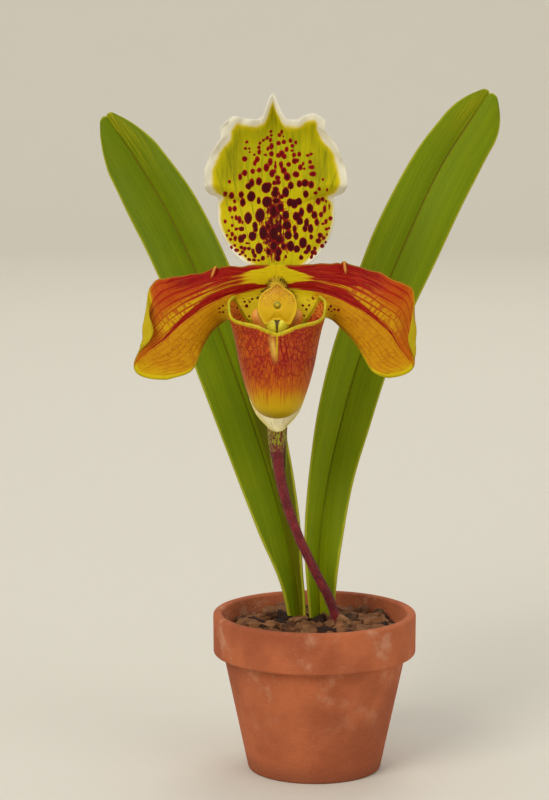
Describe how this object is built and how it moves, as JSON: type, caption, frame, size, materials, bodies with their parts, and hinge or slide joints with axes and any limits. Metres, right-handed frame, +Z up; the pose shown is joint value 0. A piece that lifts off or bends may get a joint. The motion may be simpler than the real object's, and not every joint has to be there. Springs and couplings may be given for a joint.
{
  "type": "potted lady slipper orchid",
  "caption": "Slipper orchid in bloom in a plain clay pot: folded strap leaves, a hairy stem, a spotted hood sepal, drooping petals and a hollow pouch.",
  "frame": {"origin": "middle of the flat underside of the pot", "axes": "+Z up; the flower faces -Y, so +X is to the right of a viewer who looks at its face"},
  "size_m": [0.174, 0.1273, 0.2813],
  "materials": {
    "clay": "matte",
    "bark_chips": "matte",
    "root_tissue": "matte",
    "leaf_green": "satin",
    "stem_maroon": "matte",
    "bract_green": "satin",
    "ovary_mottled": "matte",
    "dorsal_sepal_spotted": "satin",
    "synsepal_cream": "satin",
    "petal_veined": "satin",
    "pouch_netted": "satin",
    "column_peach": "satin",
    "staminode_yellow": "satin"
  },
  "bodies": {
    "root": {"pot": "clay", "bark": "bark_chips", "crown_and_roots": "root_tissue", "leaf_left": "leaf_green", "leaf_right": "leaf_green", "flower_stem": "stem_maroon", "bract": "bract_green", "ovary": "ovary_mottled", "dorsal_sepal": "dorsal_sepal_spotted", "synsepal": "synsepal_cream", "petal_left": "petal_veined", "petal_right": "petal_veined", "pouch": "pouch_netted", "column": "column_peach", "staminode": "staminode_yellow"}
  },
  "joints": []
}
